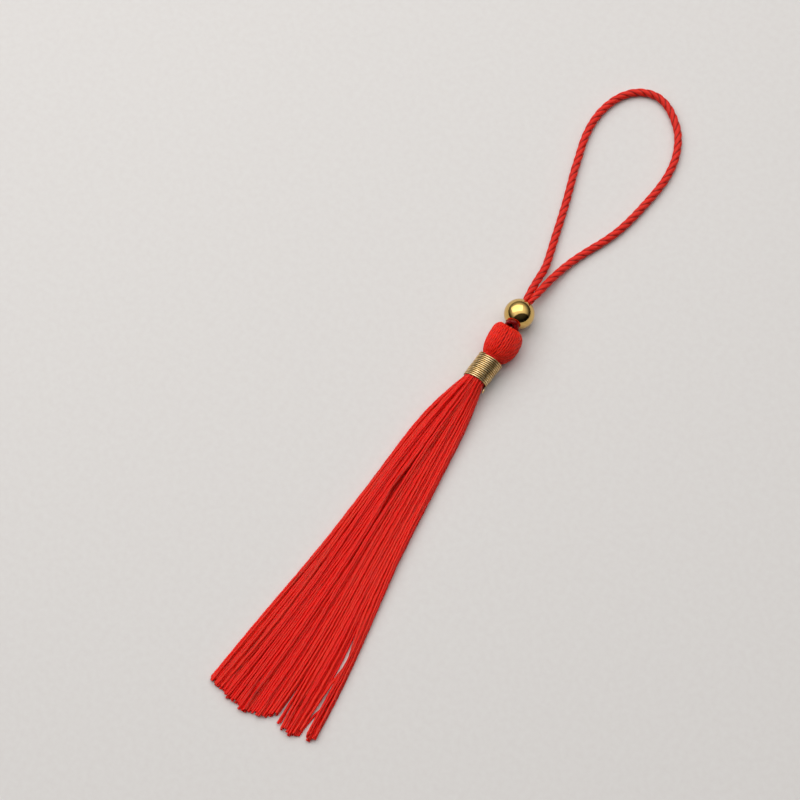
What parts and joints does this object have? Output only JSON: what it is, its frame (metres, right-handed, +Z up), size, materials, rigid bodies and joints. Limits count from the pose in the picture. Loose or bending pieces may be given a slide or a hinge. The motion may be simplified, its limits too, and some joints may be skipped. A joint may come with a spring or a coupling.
{
  "type": "silk tassel",
  "caption": "Red silk tassel lying flat: ribbed head, gold wound neck, splayed fringe, gold bead and a twisted hanging loop.",
  "frame": {"origin": "middle of the tassel's base on the surface that it lies on, without the hanging loop", "axes": "+Z up from the surface, +Y along the tassel from the fringe's cut end to the bead and loop, +X to the right"},
  "size_m": [0.0216, 0.1391, 0.0061],
  "materials": {
    "silk_yarn": "satin",
    "gold_thread": "satin",
    "gold_bead": "polished",
    "knot_cord": "satin",
    "silk_cord": "satin"
  },
  "bodies": {
    "root": {"silk_tassel": "silk_yarn", "neck_binding": "gold_thread", "bead": "gold_bead", "top_knot": "knot_cord", "hanging_loop": "silk_cord"}
  },
  "joints": []
}
